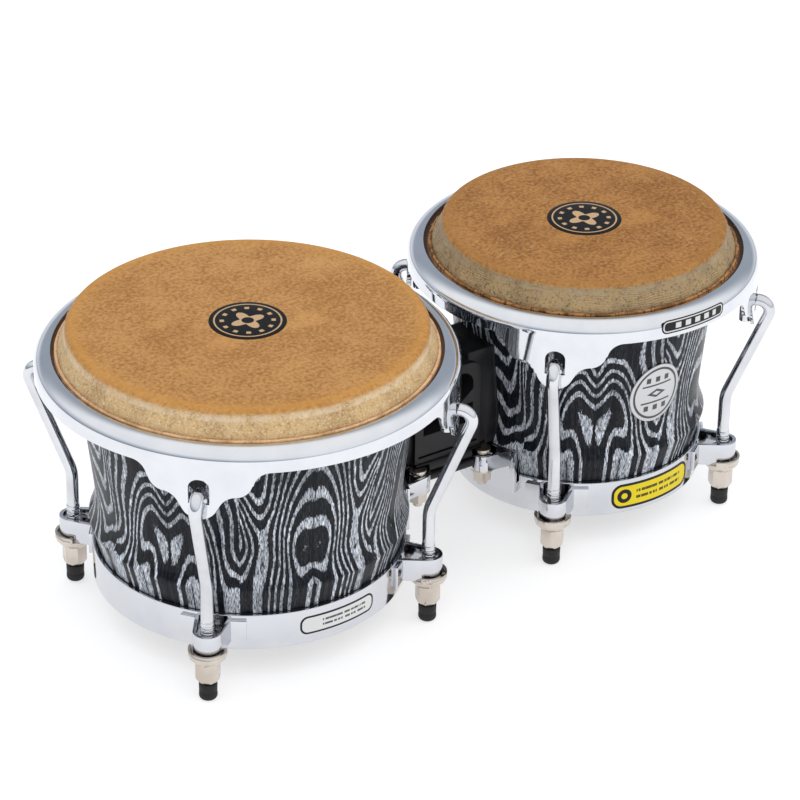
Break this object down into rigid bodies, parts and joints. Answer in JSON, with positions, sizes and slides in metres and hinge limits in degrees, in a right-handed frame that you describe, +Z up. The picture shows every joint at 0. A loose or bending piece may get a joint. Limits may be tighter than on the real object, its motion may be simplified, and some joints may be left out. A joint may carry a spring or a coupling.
{
  "type": "bongo drums",
  "caption": "Pair of hand drums, large and small, joined by a bridge block, each with a hide head pulled down by a steel rim on hooked rods and nuts.",
  "frame": {"origin": "on the floor under the middle of the pair, where the rubber tips rest", "axes": "+X from the large drum to the small drum, +Z up through the heads"},
  "size_m": [0.4702, 0.2464, 0.1886],
  "materials": {
    "shell_veneer": "black lacquer over a grey and black contour-grained veneer",
    "hide": "natural hide, matt, mottled",
    "hoop_steel": "plain wire, hidden in the hide",
    "chrome": "polished chrome plate",
    "nickel": "satin nickel plate, warm",
    "rubber": "matt black",
    "black_plastic": "moulded, fine grain",
    "badge_black": "printed disc with a plain ring pattern",
    "badge_silver": "satin plate with a plain raised border"
  },
  "bodies": {
    "root": {"hembra_shell": "shell_veneer", "hembra_head": "hide", "hembra_bottom_ring": "chrome", "hembra_ring_liner": "rubber", "hembra_lug_brackets": "chrome", "hembra_cup_washers": "nickel", "hembra_head_badge": "badge_black", "hembra_bridge_bracket": "chrome", "macho_shell": "shell_veneer", "macho_head": "hide", "macho_bottom_ring": "chrome", "macho_ring_liner": "rubber", "macho_lug_brackets": "chrome", "macho_cup_washers": "nickel", "macho_head_badge": "badge_black", "macho_bridge_bracket": "chrome", "macho_oval_plate": "badge_silver", "bridge_block": "black_plastic", "bridge_pads": "rubber", "bridge_base": "black_plastic", "bridge_bolts": "nickel", "bridge_nuts": "nickel", "bridge_screws": "nickel"},
    "hembra_tuning_frame": {"hembra_head_collar": "hide", "hembra_flesh_hoop": "hoop_steel", "hembra_rim": "chrome", "hembra_hook_1": "chrome", "hembra_foot_1": "rubber", "hembra_hook_2": "chrome", "hembra_foot_2": "rubber", "hembra_hook_3": "chrome", "hembra_foot_3": "rubber", "hembra_hook_4": "chrome", "hembra_foot_4": "rubber"},
    "hembra_nut_1_turn": {"hembra_nut_1": "nickel"},
    "hembra_nut_2_turn": {"hembra_nut_2": "nickel"},
    "hembra_nut_3_turn": {"hembra_nut_3": "nickel"},
    "hembra_nut_4_turn": {"hembra_nut_4": "nickel"},
    "macho_tuning_frame": {"macho_head_collar": "hide", "macho_flesh_hoop": "hoop_steel", "macho_rim": "chrome", "macho_hook_1": "chrome", "macho_foot_1": "rubber", "macho_hook_2": "chrome", "macho_foot_2": "rubber", "macho_hook_3": "chrome", "macho_foot_3": "rubber", "macho_hook_4": "chrome", "macho_foot_4": "rubber"},
    "macho_nut_1_turn": {"macho_nut_1": "nickel"},
    "macho_nut_2_turn": {"macho_nut_2": "nickel"},
    "macho_nut_3_turn": {"macho_nut_3": "nickel"},
    "macho_nut_4_turn": {"macho_nut_4": "nickel"}
  },
  "joints": [
    {"name": "hembra_tuning", "type": "slide", "parent": "root", "child": "hembra_tuning_frame", "axis": [0, 0, -1], "range_m": [0, 0.005]},
    {"name": "hembra_nut_1_spin", "type": "hinge", "parent": "root", "child": "hembra_nut_1_turn", "pos_m": [-0.03589, 0.07601, 0.018], "axis": [0, 0, 1], "range_deg": [0, 1440]},
    {"name": "hembra_nut_2_spin", "type": "hinge", "parent": "root", "child": "hembra_nut_2_turn", "pos_m": [-0.18791, 0.07601, 0.018], "axis": [0, 0, 1], "range_deg": [0, 1440]},
    {"name": "hembra_nut_3_spin", "type": "hinge", "parent": "root", "child": "hembra_nut_3_turn", "pos_m": [-0.18791, -0.07601, 0.018], "axis": [0, 0, 1], "range_deg": [0, 1440]},
    {"name": "hembra_nut_4_spin", "type": "hinge", "parent": "root", "child": "hembra_nut_4_turn", "pos_m": [-0.03589, -0.07601, 0.018], "axis": [0, 0, 1], "range_deg": [0, 1440]},
    {"name": "macho_tuning", "type": "slide", "parent": "root", "child": "macho_tuning_frame", "axis": [0, 0, -1], "range_m": [0, 0.005]},
    {"name": "macho_nut_1_spin", "type": "hinge", "parent": "root", "child": "macho_nut_1_turn", "pos_m": [0.19301, 0.06491, 0.018], "axis": [0, 0, 1], "range_deg": [0, 1440]},
    {"name": "macho_nut_2_spin", "type": "hinge", "parent": "root", "child": "macho_nut_2_turn", "pos_m": [0.06319, 0.06491, 0.018], "axis": [0, 0, 1], "range_deg": [0, 1440]},
    {"name": "macho_nut_3_spin", "type": "hinge", "parent": "root", "child": "macho_nut_3_turn", "pos_m": [0.06319, -0.06491, 0.018], "axis": [0, 0, 1], "range_deg": [0, 1440]},
    {"name": "macho_nut_4_spin", "type": "hinge", "parent": "root", "child": "macho_nut_4_turn", "pos_m": [0.19301, -0.06491, 0.018], "axis": [0, 0, 1], "range_deg": [0, 1440]}
  ],
  "couplings": [
    {"joint": "hembra_nut_1_spin", "follows": "hembra_tuning", "rad_per_m": 5026.5},
    {"joint": "hembra_nut_2_spin", "follows": "hembra_tuning", "rad_per_m": 5026.5},
    {"joint": "hembra_nut_3_spin", "follows": "hembra_tuning", "rad_per_m": 5026.5},
    {"joint": "hembra_nut_4_spin", "follows": "hembra_tuning", "rad_per_m": 5026.5},
    {"joint": "macho_nut_1_spin", "follows": "macho_tuning", "rad_per_m": 5026.5},
    {"joint": "macho_nut_2_spin", "follows": "macho_tuning", "rad_per_m": 5026.5},
    {"joint": "macho_nut_3_spin", "follows": "macho_tuning", "rad_per_m": 5026.5},
    {"joint": "macho_nut_4_spin", "follows": "macho_tuning", "rad_per_m": 5026.5}
  ]
}
